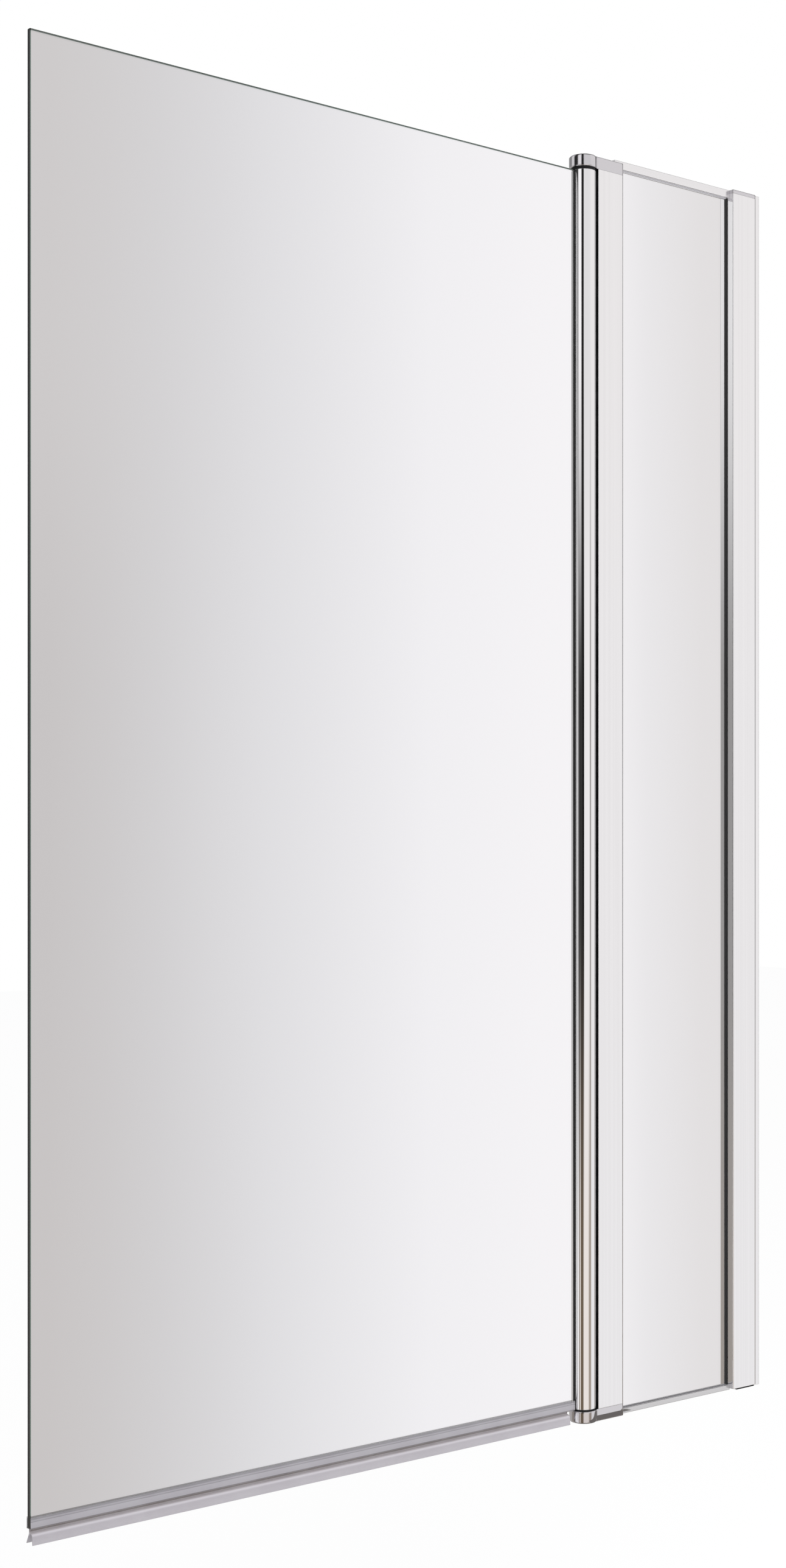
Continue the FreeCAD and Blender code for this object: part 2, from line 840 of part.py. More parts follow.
def stile_gasket(label, floor, mouth, towards):
    """L-section gasket in the glass pocket of a stile: it cushions the edge of the
    glass and wedges it from the back, with a small lip at the pocket's mouth. The
    pocket opens towards +X (1) or -X (-1)."""
    edge = floor + mm.glass_edge_gap * towards
    lip = mouth + mm.gasket_lip * towards
    corners = [
        (floor, -half_bead),
        (edge, -half_bead),
        (edge, half_glass),
        (lip, half_glass),
        (lip, (half_pocket + half_glass) / 2),
        (mouth, half_pocket),
        (floor, half_pocket),
    ]
    return extrusion(label, corners, mm.bottom_rail_height, gasket_length)


def glass_pane(label, left, right, bottom, height):
    """Sheet of toughened glass with a polished arris round both faces."""
    body = new_body(label)
    section = new_sketch(body, offset=bottom)
    box(section, left, right, -half_glass, half_glass)
    pad(body, section, height)
    face = half_glass.value
    chamfer_edges(
        body,
        mm.glass_arris,
        lambda edge: all(abs(abs(vertex.Point.y) - face) < 0.01 for vertex in edge.Vertexes)
        and edge.BoundBox.YLength < 0.01,
    )
    return body


# ---------------------------------------------------------------------------- door


def pivot_post():
    """Extruded post: a round tube that turns in the cradle, with a lipped pocket
    for the edge of the door glass and a bored core for the bushes at its centre."""
    radius = mm.post_radius
    half = [
        (-slot_floor, -half_slot),
        (-lip_back, -half_slot),
        (-lip_back, -half_mouth),
        (-mouth_x, -half_mouth, radius, LEFT),
        (ZERO, -radius, radius, LEFT),
        (radius, ZERO),
    ]
    body = new_body("pivot_post")
    section = new_sketch(body, offset=post_bottom)
    outline(section, mirrored(half))
    circle(section, 0, 0, core_bore)
    side = mm.post_rib / 2
    rim = radius - mm.post_wall
    core = core_bore + mm.post_core_wall
    rim_y = (rim * rim - side * side).root()
    core_y = (core * core - side * side).root()
    outline(
        section,
        [(side, -rim_y, rim, LEFT), (side, rim_y), (side, core_y, core, RIGHT), (side, -core_y)],
    )
    wall_y = half_slot + mm.post_pocket_wall
    wall_x = (rim * rim - wall_y * wall_y).root()
    outline(section, [(-side, -rim_y), (-side, -wall_y), (-wall_x, -wall_y, rim, LEFT)])
    outline(section, [(-side, wall_y), (-side, rim_y, rim, LEFT), (-wall_x, wall_y)])
    pad(body, section, post_top - post_bottom)
    return place(body, x=hinge_x)


def door_gasket(label, side):
    """Glazing gasket on one face of the door glass: locked behind the lip of the
    post, with its edge filling the gap beside the lip."""
    near, mouth, far = half_glass * side, half_mouth * side, half_slot * side
    floor = -(slot_floor + mm.post_glass_gap)
    corners = [
        (floor, near),
        (-mouth_x, near),
        (-mouth_x, mouth),
        (-lip_back, mouth),
        (-lip_back, far),
        (floor, far),
    ]
    return place(extrusion(label, corners, door_glass_bottom, door_glass_height), x=hinge_x)


def bottom_seal():
    """Clear flexible strip pushed on to the bottom edge of the door: a clip round
    the glass, a short stem, and two fins that touch the rim of the bath. The
    front fin is rounded to throw the water back. Drawn looking along +X, with
    the front at -Y."""
    skin = mm.seal_skin
    body = new_body("bottom_seal")
    glass_low = door_glass_bottom
    clip_top = glass_low + mm.seal_clip_height
    clip_low = glass_low - skin
    clip_half = half_glass + skin
    shoulder, bend = mm.seal_shoulder_reach, mm.seal_shoulder_round
    centre = shoulder - bend
    middle = mm.seal_shoulder_height
    stem = mm.seal_stem_front
    outer_rise = (bend * bend - (stem - centre) * (stem - centre)).root()
    thin = bend - skin
    inner_x = mm.seal_groove_front
    inner_rise = (thin * thin - (inner_x - centre) * (inner_x - centre)).root()
    tip = mm.seal_tip_height
    corners = [
        (-half_glass, clip_top),
        (-clip_half, clip_top),
        (-clip_half, clip_low),
        (-stem, clip_low),
        (-stem, middle + outer_rise, bend, LEFT),
        (-shoulder, middle),
        (-mm.seal_front_reach, tip),
        (skin - mm.seal_front_reach, tip),
        (skin - shoulder, middle, thin, RIGHT),
        (-inner_x, middle + inner_rise),
        (-mm.seal_groove_back, mm.seal_back_root - mm.seal_groove_drop),
        (mm.seal_back_reach - mm.seal_back_foot, tip),
        (mm.seal_back_reach, tip),
        (mm.seal_stem_back, mm.seal_back_root),
        (mm.seal_stem_back, clip_low),
        (clip_half, clip_low),
        (clip_half, clip_top),
        (half_glass, clip_top),
        (half_glass, glass_low),
        (-half_glass, glass_low),
    ]
    section = new_sketch(body, "YZ_Plane")
    outline(section, corners)
    length = mm.door_reach - mm.post_radius - mm.seal_end_gap
    pad(body, section, length)
    fins = new_sketch(body, "YZ_Plane", offset=length - mm.seal_fin_setback)
    side = mm.stile_depth
    box(fins, -side, side, -side, clip_low)
    pocket(body, fins, mm.seal_fin_setback * 2)
    return place(body, x=hinge_x - mm.door_reach)


# ------------------------------------------------------------------------ assembly


def build_screen():
    """Make every sub-part and return the ones that are written out."""
    parts = [
        wall_channel(),
        wall_stile(),
        wall_stile_cap(),
        wall_stile_foot(),
    ]
    parts += lock_pieces()
    parts += [hinge_stile(), cradle_seal()]
    for name, top in (("top", True), ("bottom", False)):
        parts.append(hinge_cap(f"hinge_cap_{name}", top))
        parts.append(pivot_pin(f"pivot_pin_{name}", top))
        parts.append(thrust_washer(f"thrust_washer_{name}", top))
        parts.append(pivot_bush(f"pivot_bush_{name}", top))
    screws = [cap_screw("cap_screw_1", True), cap_screw("cap_screw_2", False)]
    parts.append(group("cap_screws", screws))
    height = mm.frame_height
    top_mouth = height - mm.top_rail_height
    parts += [
        rail("top_rail", top_mouth, height, opens_down=True),
        rail("bottom_rail", ZERO, mm.bottom_rail_height, opens_down=False),
        rail_gasket("gasket_top", height - mm.rail_web, fixed_glass_top, top_mouth),
        rail_gasket("gasket_bottom", mm.rail_web, fixed_glass_bottom, mm.bottom_rail_height),
        stile_gasket("gasket_wall_side", pocket_floor, stile_left, -1),
        stile_gasket(
            "gasket_hinge_side", hinge_x + hinge_floor, hinge_x + hinge_stile_right, 1
        ),
        glass_pane(
            "fixed_glass",
            hinge_x + hinge_floor + mm.glass_edge_gap,
            pocket_floor - mm.glass_edge_gap,
            fixed_glass_bottom,
            fixed_glass_top - fixed_glass_bottom,
        ),
        pivot_post(),
        glass_pane(
            "door_glass",
            hinge_x - mm.door_reach,
            hinge_x - slot_floor - mm.post_glass_gap,
            door_glass_bottom,
            door_glass_height,
        ),
        door_gasket("door_gasket_front", -1),
        door_gasket("door_gasket_back", 1),
        bottom_seal(),
    ]
    return parts


def check(parts):
    """Stop if any object failed, or any sub-part is not a sound solid."""
    for thing in doc.Objects:
        if "Invalid" in thing.State or "Error" in thing.State:
            raise RuntimeError(f"{thing.Name} is {thing.State}")
    for part in parts:
        if part.Shape.isNull() or not part.Shape.isValid() or not part.Shape.Solids:
            raise RuntimeError(f"{part.Label} has no sound shape")


screen_parts = build_screen()
doc.recompute()
check(screen_parts)
os.makedirs("parts", exist_ok=True)
for part in screen_parts:
    part.Shape.exportStep(f"parts/{part.Label}.step")
    extent = part.Shape.BoundBox
    print(
        f"{part.Label:22s} {len(part.Shape.Solids)} solids {part.Shape.Volume:12.1f} mm3"
        f"  x {extent.XMin:8.2f} {extent.XMax:8.2f}"
        f"  y {extent.YMin:6.2f} {extent.YMax:6.2f}"
        f"  z {extent.ZMin:8.2f} {extent.ZMax:8.2f}"
    )
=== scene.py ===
# %% [markdown]
# # A bath screen with a full-height hinge
#
# The object is a square pane of toughened glass that turns on a round metal post,
# beside a narrow fixed pane between two bright extrusions. Nearly everything on it is
# either clear or a mirror, so the picture is made less by the colour of the pieces than
# by what they reflect and let through. The lesson goes in that order: first the frame
# that the CAD program packed, then the camera, the studio that the metal sees, the
# finishes, and at last the small pieces that the CAD model keeps plain.

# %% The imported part
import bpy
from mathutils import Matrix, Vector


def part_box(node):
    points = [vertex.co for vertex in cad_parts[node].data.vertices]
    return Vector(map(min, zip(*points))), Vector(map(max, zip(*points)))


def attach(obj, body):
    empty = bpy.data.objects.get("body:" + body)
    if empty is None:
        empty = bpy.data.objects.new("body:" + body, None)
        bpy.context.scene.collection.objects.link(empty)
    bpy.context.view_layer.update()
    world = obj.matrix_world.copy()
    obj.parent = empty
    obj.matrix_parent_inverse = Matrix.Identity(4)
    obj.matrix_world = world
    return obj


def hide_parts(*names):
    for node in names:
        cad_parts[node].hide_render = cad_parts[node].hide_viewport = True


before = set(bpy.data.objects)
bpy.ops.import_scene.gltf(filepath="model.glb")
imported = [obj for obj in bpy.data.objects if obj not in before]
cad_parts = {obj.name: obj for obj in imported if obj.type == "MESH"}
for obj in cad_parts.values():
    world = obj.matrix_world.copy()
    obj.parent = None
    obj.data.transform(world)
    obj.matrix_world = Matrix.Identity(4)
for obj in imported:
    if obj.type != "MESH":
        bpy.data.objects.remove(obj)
print("packed nodes:", len(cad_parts))

# %% More imports
import math

import bpy
import numpy as np


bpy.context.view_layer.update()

# %% [markdown]
# ## The camera
#
# The camera stands a little lower than the middle of the screen, far out on the side
# of the free edge, and looks level. A level camera keeps upright edges upright. The
# picture shows a little more above the horizon than below it, and that comes from
# moving the lens up in front of the film, which Blender calls a shift. Tilting the
# camera would do it too, but then the stiles would lean towards each other.

# %% The camera
CAMERA_PLACE = (-1.99476, -1.81364, 0.6552)
CAMERA_AZIMUTH = 51.59           # direction of view, degrees from +X towards +Y
CAMERA_LENS = 50.38              # millimetres, as the film
CAMERA_FILM = 36.0
CAMERA_SHIFT = 0.0370            # share of the picture's longer side
CAMERA_REACH = 60.0              # metres

camera_data = bpy.data.cameras.new("camera")
camera_data.lens = CAMERA_LENS
camera_data.sensor_width = CAMERA_FILM
camera_data.sensor_fit = "AUTO"
camera_data.shift_y = CAMERA_SHIFT
camera_data.clip_end = CAMERA_REACH
camera = bpy.data.objects.new("camera", camera_data)
camera.location = CAMERA_PLACE
camera.rotation_euler = (math.pi / 2, 0, math.radians(CAMERA_AZIMUTH - 90))
bpy.context.scene.collection.objects.link(camera)
bpy.context.scene.camera = camera
bpy.context.scene.view_settings.view_transform = "Standard"
print("camera at", CAMERA_PLACE)

# %% [markdown]
# ## Helpers for wiring nodes
#
# Every finish below is a small graph of nodes. Wiring one by hand takes three lines a
# node, so one helper adds a node, sets its options, and fills its sockets: a number or
# colour is stored in the socket, and another node's output is linked to it. The others
# name the few steps that come back in nearly every graph.

# %% Nodes and numbers
MM = 0.001
MICRON = 0.000001


def add(tree, kind, sockets=None, **options):
    """Add a shader node. Sockets are named or numbered; a value is stored and an
    output is linked. Options are the node's own properties."""
    made = tree.nodes.new("ShaderNode" + kind)
    for name, value in options.items():
        setattr(made, name, value)
    for name, value in (sockets or {}).items():
        if isinstance(value, bpy.types.NodeSocket):
            tree.links.new(value, made.inputs[name])
        else:
            made.inputs[name].default_value = value
    return made


def maths(tree, operation, *values):
    """One arithmetic step with numbers or outputs."""
    return add(tree, "Math", dict(enumerate(values)), operation=operation).outputs[0]


def blend(tree, share, first, second):
    """The first colour where share is 0 and the second where it is 1."""
    sockets = {0: share, 6: first, 7: second}
    return add(tree, "Mix", sockets, data_type="RGBA", clamp_factor=True).outputs[2]


def ramped(tree, value, low, high, first=0.0, last=1.0):
    """A number that goes from first to last while value goes from low to high."""
    sockets = {
        "Value": value, "From Min": low, "From Max": high, "To Min": first, "To Max": last,
    }
    smooth = add(tree, "MapRange", sockets, interpolation_type="SMOOTHSTEP")
    return smooth.outputs["Result"]


print("node helpers ready")

# %% Tones


def linear(grey):
    """Light for a grey as a screen shows it, 0 to 1: ((grey + 0.055) / 1.055) ** 2.4."""
    return grey / 12.92 if grey <= 0.04045 else ((grey + 0.055) / 1.055) ** 2.4


def shade(grey, warm=0.0, violet=0.0):
    """A grey with a little red over blue, or a little red and blue over green."""
    level = linear(grey)
    return (
        level * (1 + warm + violet / 2),
        level * (1 - violet / 2),
        level * (1 - warm + violet / 2),
        1.0,
    )


def tone_ramp(tree, value, panels, full, violet=0.0):
    """Colours along a value from 0 to 1. Each panel is (first, last, grey, warmth) on a
    scale that ends at full. Its tone holds from first to last, and what lies between two
    panels is the soft blend of their tones."""
    made = add(tree, "ValToRGB", {"Fac": value})
    elements = made.color_ramp.elements
    stops = [
        (edge / full, shade(grey, warm, violet))
        for first, last, grey, warm in panels
        for edge in (first, last)
    ]
    elements[0].color, elements[1].color = stops[0][1], stops[-1][1]
    for position, colour in stops[1:-1]:
        elements.new(position).color = colour
    return made.outputs["Color"]


print("mid grey gives", round(linear(0.5), 3), "of the light of white")

# %% [markdown]
# ## The studio that the metal sees
#
# A polished post is a bent mirror: across its 30 mm it shows the whole room, squeezed
# into upright stripes. Those stripes are what makes it look round and bright, so the
# room has to be there. It could be built from real panels round the object, which is
# slow and gets in the way of other views. Instead the world itself is painted: for a
# direction, its angle round the object goes into a colour ramp whose stops are the
# panels of a plain studio. Three such rings, for looking up, level and down, are mixed
# by how steep the direction is. Straight above is a dark ceiling and straight below a
# dark warm floor, which draw the thin dark lines along rounded level edges.

# %% The rings of the studio
# Each panel is (first angle, last angle, grey, warmth), in degrees from +X towards +Y,
# so 90 is behind the screen, 180 beyond its free edge, and 270 in front of it.
RING_UP = (
    (0, 48, 0.48, 0.02),             # a doorway beyond the wall side
    (56, 118, 0.60, 0.00),           # grey room behind the screen
    (126, 146, 0.93, 0.00),
    (153, 178, 0.18, 0.00),          # dark curtain
    (180, 184, 0.34, 0.00),          # the soft box's frame
    (188, 212, 1.00, 0.00),          # the soft box
    (215, 231, 0.10, 0.00),          # the dark camera side
    (236, 288, 0.91, 0.00),          # the light front wall
    (300, 348, 0.94, 0.01),
    (354, 360, 0.48, 0.02),
)
RING_LEVEL = (
    (0, 50, 0.22, 0.02),
    (58, 118, 0.72, 0.00),
    (126, 146, 0.58, 0.02),
    (153, 176, 0.20, 0.00),
    (179, 182, 0.97, 0.00),
    (185, 190, 0.42, 0.00),
    (195, 221, 0.20, 0.02),
    (226, 235, 0.05, 0.02),
    (240, 286, 0.96, 0.01),
    (291, 299, 0.60, 0.04),          # a grey flat in front of the light wall
    (304, 348, 0.945, 0.005),
    (353, 360, 0.22, 0.02),
)
RING_DOWN = (
    (0, 50, 0.46, 0.18),
    (60, 118, 0.74, 0.03),
    (126, 147, 0.58, 0.10),
    (152, 158, 0.30, 0.05),
    (163, 190, 0.99, 0.00),
    (193, 197, 0.50, 0.12),
    (201, 206, 0.86, 0.08),
    (211, 228, 0.38, 0.32),          # the floor's edge, brown and cream
    (235, 274, 0.92, 0.06),
    (283, 298, 0.60, 0.16),
    (306, 344, 0.945, 0.00),
    (350, 360, 0.46, 0.18),
)
FULL_TURN = 360
print("rings:", len(RING_UP), len(RING_LEVEL), len(RING_DOWN), "panels")

# %% The painted world
# A direction's steepness is its Z, from -1 to 1. Each pair says where a change begins
# and where it is complete.
TO_RING_UP = (0.06, 0.24)
TO_RING_DOWN = (-0.02, -0.22)
TO_CEILING = (0.74, 0.92)
TO_GROUND = (-0.76, -0.92)
CEILING = shade(0.22, 0.02)
GROUND = shade(0.34, 0.12)

world = bpy.data.worlds.new("studio")
bpy.context.scene.world = world
world.use_nodes = True
sky = world.node_tree
sky.nodes.clear()
direction = add(sky, "TexCoord").outputs["Generated"]
axes = add(sky, "SeparateXYZ", {"Vector": direction}).outputs
steepness = axes["Z"]
# The angle is taken from the opposite direction, so that its jump lies at +X, where the
# rings begin and end.
opposite_x = maths(sky, "MULTIPLY", axes["X"], -1.0)
opposite_y = maths(sky, "MULTIPLY", axes["Y"], -1.0)
angle = maths(sky, "ARCTAN2", opposite_y, opposite_x)
turn = maths(sky, "MULTIPLY_ADD", angle, 1 / (2 * math.pi), 0.5)

room_up, room_level, room_down = (
    tone_ramp(sky, turn, panels, FULL_TURN) for panels in (RING_UP, RING_LEVEL, RING_DOWN)
)
mirrored_room = blend(sky, ramped(sky, steepness, *TO_RING_UP), room_level, room_up)
mirrored_room = blend(sky, ramped(sky, steepness, *TO_RING_DOWN), mirrored_room, room_down)
mirrored_room = blend(sky, ramped(sky, steepness, *TO_CEILING), mirrored_room, CEILING)
mirrored_room = blend(sky, ramped(sky, steepness, *TO_GROUND), mirrored_room, GROUND)
print("room painted with", len(sky.nodes), "nodes")

# %% [markdown]
# Matt pieces must not be lit by stripes, so they see an even pale room. Glass shows a
# calmer room still, and the camera sees plain white. The Light Path node tells which
# kind of ray is asking.
#
# Through the panes the room is pale, a little darker to the sides. The wide pane turns
# from grey at its free edge to nearly white at the post, because the angle at which one
# looks through it changes, and the narrow pane darkens again from the hinge stile to the
# wall. Light that a mirror sends through a pane still shows the mirrored room, so only
# rays that no mirror has turned get this one. A mirror seen in a mirror shows a plain
# grey room, which keeps the narrow gaps between bright pieces calm.

# %% What each kind of ray meets
THROUGH_GLASS = (
    (0, 43.2, 0.866, 0.018),
    (44.3, 44.5, 0.895, 0.004),      # the narrow pane
    (44.9, 45.0, 0.910, 0.000),
    (45.5, 45.6, 0.942, -0.003),
    (45.9, 47.0, 0.965, 0.000),      # the post and its stile
    (50.3, 50.5, 0.946, -0.006),     # the wide pane
    (54.8, 54.9, 0.872, -0.008),
    (57.3, 57.5, 0.822, 0.000),
    (60, 80, 0.786, 0.018),
    (120, 240, 0.90, 0.00),
    (300, 360, 0.90, 0.00),
)
GLASS_VIOLET = 0.024             # makes up for the green of the glass itself
TO_GLASS_CEILING = (0.42, 0.62)
GLASS_CEILING = shade(0.30)
SECOND_MIRROR = shade(0.80)
EVEN_ROOM = (0.80, 0.80, 0.81, 1.0)
WHITE = (1.0, 1.0, 1.0, 1.0)

rays = add(sky, "LightPath").outputs
mirrors = rays["Glossy Depth"]
twice_mirrored = maths(sky, "GREATER_THAN", mirrors, 1.5)
mirrored_room = blend(sky, twice_mirrored, mirrored_room, SECOND_MIRROR)
seen = blend(sky, rays["Is Glossy Ray"], EVEN_ROOM, mirrored_room)
ceiling_share = ramped(sky, steepness, *TO_GLASS_CEILING)
glass_ring = tone_ramp(sky, turn, THROUGH_GLASS, FULL_TURN, GLASS_VIOLET)
through = blend(sky, ceiling_share, glass_ring, GLASS_CEILING)
unmirrored = maths(sky, "LESS_THAN", mirrors, 0.5)
looked_through = maths(sky, "MULTIPLY", rays["Is Transmission Ray"], unmirrored)
seen = blend(sky, looked_through, seen, through)
seen = blend(sky, rays["Is Camera Ray"], seen, WHITE)
glow = add(sky, "Background", {"Color": seen, "Strength": 1.0})
add(sky, "OutputWorld", {"Surface": glow.outputs["Background"]})
print("world wired with", len(sky.nodes), "nodes")

# %% [markdown]
# ## Floor and lamps
#
# The screen stands on the rim of a bath, so the floor is a bath's height below it. It is
# pale, and the camera sees it lifted to white except where the screen's shadow falls.
# Neither metal nor glass sees the floor, because the painted room is theirs.

# %% The floor
FLOOR_DROP = 0.55                # metres below the rim
FLOOR_HALF = 14.0
FLOOR_COLOUR = (0.93, 0.93, 0.93, 1.0)
FLOOR_LIFT = 0.85                # share of the camera's view that is plain light
FLOOR_LIGHT = 1.02


def blank_material(name):
    """A new material with an empty graph."""
    made = bpy.data.materials.new(name)
    made.use_nodes = True
    made.node_tree.nodes.clear()
    return made, made.node_tree


def level_sheet(name, left, right, front, back, height, material):
    """A level rectangle that faces up and isn't seen through glass."""
    corners = [
        (left, front, height), (right, front, height), (right, back, height),
        (left, back, height),
    ]
    mesh = bpy.data.meshes.new(name)
    mesh.from_pydata(corners, [], [(0, 1, 2, 3)])
    mesh.materials.append(material)
    sheet = bpy.data.objects.new(name, mesh)
    bpy.context.scene.collection.objects.link(sheet)
    sheet.visible_transmission = False
    return sheet


floor_finish, tree = blank_material("pale_floor")
matt = add(tree, "BsdfDiffuse", {"Color": FLOOR_COLOUR})
lift = add(tree, "Emission", {"Color": WHITE, "Strength": FLOOR_LIGHT})
camera_ray = add(tree, "LightPath").outputs["Is Camera Ray"]
camera_share = maths(tree, "MULTIPLY", camera_ray, FLOOR_LIFT)
mixed = add(tree, "MixShader", {0: camera_share, 1: matt.outputs[0], 2: lift.outputs[0]})
add(tree, "OutputMaterial", {"Surface": mixed.outputs[0]})
floor = level_sheet(
    "floor", -FLOOR_HALF, FLOOR_HALF, -FLOOR_HALF, FLOOR_HALF, -FLOOR_DROP, floor_finish
)
floor.visible_glossy = False
print("floor", FLOOR_DROP, "m below the rim")

# %% [markdown]
# The lower half of the bottom cap mirrors the shade on the rim it stands on. A small
# dark card lies there, level with the rim, as painted shade that only reflections can see.

# %% The card under the hinge
CARD_LEFT, CARD_RIGHT = -0.284, -0.205
CARD_FRONT, CARD_BACK = -0.031, -0.0125
CARD_LEVEL = -0.0005
# painted shade: a dim glowing card that stands for the shaded rim in the cap's reflection
RIM_SHADE_TONE = shade(0.46, 0.06)

card_finish, tree = blank_material("painted_rim_shade")
painted_shade_glow = add(tree, "Emission", {"Color": RIM_SHADE_TONE, "Strength": 1.0})
add(tree, "OutputMaterial", {"Surface": painted_shade_glow.outputs[0]})
card = level_sheet(
    "rim_shade_card", CARD_LEFT, CARD_RIGHT, CARD_FRONT, CARD_BACK, CARD_LEVEL, card_finish
)
card.visible_camera = card.visible_diffuse = card.visible_shadow = False
print("card laid")

# %% [markdown]
# Two large soft lamps give the matt pieces a lit and a shaded side. Metal and glass
# don't show them either.

# %% The lamps
MIDDLE = (-0.5, 0.0, 0.7)


def soft_lamp(name, place, size, watts):
    """A square lamp at place, facing the middle of the screen."""
    data = bpy.data.lights.new(name, "AREA")
    data.size, data.energy = size, watts
    lamp = bpy.data.objects.new(name, data)
    lamp.location = place
    aim_x, aim_y, aim_z = np.subtract(MIDDLE, place)
    tilt = math.atan2(math.hypot(aim_x, aim_y), -aim_z)
    lamp.rotation_euler = (tilt, 0, math.atan2(aim_y, aim_x) - math.pi / 2)
    lamp.visible_glossy = lamp.visible_transmission = lamp.visible_camera = False
    bpy.context.scene.collection.objects.link(lamp)


soft_lamp("front_lamp", (-2.2, -3.0, 3.0), size=2.4, watts=70)
soft_lamp("side_lamp", (1.6, -2.4, 1.8), size=2.0, watts=30)
print("two lamps")

# %% [markdown]
# ## Finishes
#
# Six things are looked at for each one: its colour, how much of a mirror it is, what
# breaks the mirror, in which direction, at what scale, and what happens at the edges.
# Sharp CAD edges never catch the light, while every real edge has a small round. The
# Bevel node makes that round for the renderer alone, which is enough for a round of up
# to two or three millimetres.

# %% A start for every finish
MOST_OF_NOISE = (0.3, 0.7)       # nearly all of a noise's values lie between these


def finish(name):
    """A new material, its empty graph, and the place on the piece that its patterns
    follow."""
    made, tree = blank_material(name)
    return made, tree, add(tree, "TexCoord").outputs["Object"]


def noise(tree, place, scale, detail=2.0, stretch=(1.0, 1.0, 1.0)):
    """Noise with features about 1/scale metres across, drawn out along an axis
    whose stretch is below 1."""
    moved = add(tree, "Mapping", {"Vector": place, "Scale": stretch}).outputs[0]
    sockets = {"Vector": moved, "Scale": scale, "Detail": detail}
    return add(tree, "TexNoise", sockets).outputs["Fac"]


def rounded(tree, radius):
    """The surface direction as if every edge had a round of this radius."""
    return add(tree, "Bevel", {"Radius": radius}, samples=6).outputs["Normal"]


def bumped(tree, height, depth, normal=None):
    """The surface direction with height, 0 to 1, standing up by depth metres."""
    sockets = {"Height": height, "Distance": depth, "Strength": 1.0}
    if normal is not None:
        sockets["Normal"] = normal
    return add(tree, "Bump", sockets).outputs["Normal"]


def cover(tree, sockets, inside=None):
    """A Principled shader with these sockets, joined to the material's output, and for
    a clear piece the volume inside it."""
    shader = add(tree, "BsdfPrincipled", sockets)
    ends = {"Surface": shader.outputs[0]}
    if inside is not None:
        ends["Volume"] = inside.outputs[0]
    add(tree, "OutputMaterial", ends)


def wear(material, *node_names):
    """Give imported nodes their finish."""
    for name in node_names:
        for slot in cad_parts[name].material_slots:
            slot.link = "DATA"
            slot.material = material


print("finish helpers ready")

# %% [markdown]
# ### Bright extrusion
#
# The stiles, the post and the rails are pressed through a die, then polished and
# anodised. The polish is nearly a mirror. What tells it from chrome is a faint violet
# warmth and the die's lines, which run the whole length of the piece, so the noise is
# squeezed across the length and drawn out along it. One function makes it for an upright
# piece and for a level one. The rails are brushed a little duller than the uprights,
# and the lower one is darker all over, a painted shade for the dark rim that it mirrors.

# %% Bright extrusion
DRAWN_OUT = {"X": (0.004, 1.0, 1.0), "Z": (1.0, 1.0, 0.004)}     # a noise's stretch
POLISHED, BRUSHED = (0.02, 0.06), (0.15, 0.22)
UPRIGHT_ROUND, RAIL_ROUND = 0.7 * MM, 1.4 * MM


def bright_extrusion(name, along, edge_round, roughness, tone=1.0):
    """Anodised aluminium with die lines along the axis "X" or "Z". A tone below 1 darkens
    all of its colours, as painted shade.
    """
    material, tree, place = finish(name)
    lines = noise(tree, place, scale=1400.0, detail=3.0, stretch=DRAWN_OUT[along])
    bands = noise(tree, place, scale=260.0, stretch=DRAWN_OUT[along])
    haze = noise(tree, place, scale=14.0, detail=5.0)
    darker = (0.90 * tone, 0.885 * tone, 0.90 * tone, 1)
    lighter = (0.93 * tone, 0.915 * tone, 0.93 * tone, 1)
    cover(tree, {
        "Base Color": blend(tree, ramped(tree, bands, *MOST_OF_NOISE), darker, lighter),
        "Metallic": 1.0,
        "Roughness": ramped(tree, haze, 0.35, 0.75, *roughness),
        "Normal": bumped(tree, lines, 0.4 * MICRON, rounded(tree, edge_round)),
    })
    return material


upright_bright = bright_extrusion("bright_extrusion_upright", "Z", UPRIGHT_ROUND, POLISHED)
level_bright = bright_extrusion("bright_extrusion_level", "X", RAIL_ROUND, BRUSHED)
# the lower rail's tone of 0.76 is painted shade for the dark rim that the rail mirrors
level_shaded = bright_extrusion("bright_extrusion_low_painted_shade", "X", RAIL_ROUND, BRUSHED, tone=0.76)
wear(upright_bright, "wall_channel", "wall_stile", "hinge_stile", "pivot_post")
wear(level_bright, "top_rail")
wear(level_shaded, "bottom_rail")
print("bright extrusions dressed")

# %% [markdown]
# ### Chromed castings
#
# The caps of the hinge and of the wall stile are cast, linished and chromed. Chrome is
# bluer and darker than polished aluminium. A casting keeps a faint ripple of a few
# millimetres under the plating, which shows as a slow bend in its reflections.

# %% Chromed castings


def chromed_casting():
    """Chrome over a hand-finished casting: a ripple, fine polishing haze and
    rounded edges."""
    material, tree, place = finish("chromed_casting")
    ripple = noise(tree, place, scale=110.0, detail=1.0)
    haze = noise(tree, place, scale=60.0, detail=6.0)
    cover(tree, {
        "Base Color": (0.70, 0.68, 0.71, 1),
        "Metallic": 1.0,
        "Roughness": ramped(tree, haze, 0.3, 0.8, *POLISHED),
        "Normal": bumped(tree, ripple, 12 * MICRON, rounded(tree, 2.4 * MM)),
    })
    return material


wear(chromed_casting(), "wall_stile_cap", "hinge_cap_top", "hinge_cap_bottom")
print("castings dressed")

# %% [markdown]
# ### Steel
#
# Screws, nuts and pins are turned from stainless bar. The tool leaves rings round the
# axis, finer than a tenth of a millimetre; noise that is the same scale in all
# directions, with a grey a little darker in its hollows, is enough at this size.

# %% Steel


